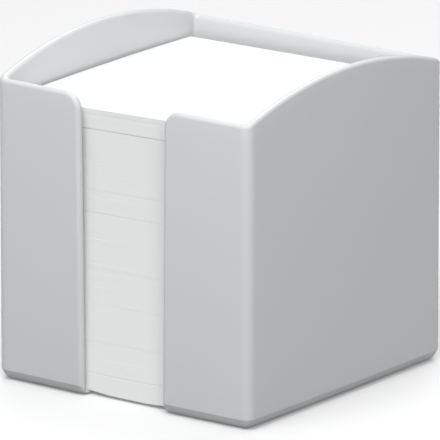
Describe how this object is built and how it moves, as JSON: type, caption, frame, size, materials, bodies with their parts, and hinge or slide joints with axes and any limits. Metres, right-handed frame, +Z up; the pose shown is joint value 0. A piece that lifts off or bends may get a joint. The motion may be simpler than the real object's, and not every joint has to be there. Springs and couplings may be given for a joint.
{
  "type": "memo cube",
  "caption": "Open-topped moulded note box with arched side walls and a finger slot in front, filled with a stack of loose square note sheets.",
  "frame": {"origin": "on the ground under the middle of the note box", "axes": "+Z up, -Y towards the front, where the finger slot is, +X to the right"},
  "size_m": [0.098, 0.1017, 0.1049],
  "materials": {
    "box_plastic": "light grey injection moulding, satin to semi-gloss, plain",
    "paper": "plain white uncoated note paper, cut edges"
  },
  "bodies": {
    "box": {"note_box": "box_plastic"},
    "bundle_1": {"sheets_1": "paper"},
    "bundle_2": {"sheets_2": "paper"},
    "bundle_3": {"sheets_3": "paper"},
    "bundle_4": {"sheets_4": "paper"},
    "bundle_5": {"sheets_5": "paper"},
    "bundle_6": {"sheets_6": "paper"},
    "bundle_7": {"sheets_7": "paper"},
    "bundle_8": {"sheets_8": "paper"},
    "bundle_9": {"sheets_9": "paper"}
  },
  "joints": [
    {"name": "lift_1", "type": "slide", "parent": "box", "child": "bundle_1", "axis": [0, 0, 1], "range_m": [0, 0.105]},
    {"name": "lift_2", "type": "slide", "parent": "bundle_1", "child": "bundle_2", "axis": [0, 0, 1], "range_m": [0, 0.099]},
    {"name": "lift_3", "type": "slide", "parent": "bundle_2", "child": "bundle_3", "axis": [0, 0, 1], "range_m": [0, 0.089]},
    {"name": "lift_4", "type": "slide", "parent": "bundle_3", "child": "bundle_4", "axis": [0, 0, 1], "range_m": [0, 0.077]},
    {"name": "lift_5", "type": "slide", "parent": "bundle_4", "child": "bundle_5", "axis": [0, 0, 1], "range_m": [0, 0.066]},
    {"name": "lift_6", "type": "slide", "parent": "bundle_5", "child": "bundle_6", "axis": [0, 0, 1], "range_m": [0, 0.048]},
    {"name": "lift_7", "type": "slide", "parent": "bundle_6", "child": "bundle_7", "axis": [0, 0, 1], "range_m": [0, 0.041]},
    {"name": "lift_8", "type": "slide", "parent": "bundle_7", "child": "bundle_8", "axis": [0, 0, 1], "range_m": [0, 0.022]},
    {"name": "lift_9", "type": "slide", "parent": "bundle_8", "child": "bundle_9", "axis": [0, 0, 1], "range_m": [0, 0.017]}
  ]
}
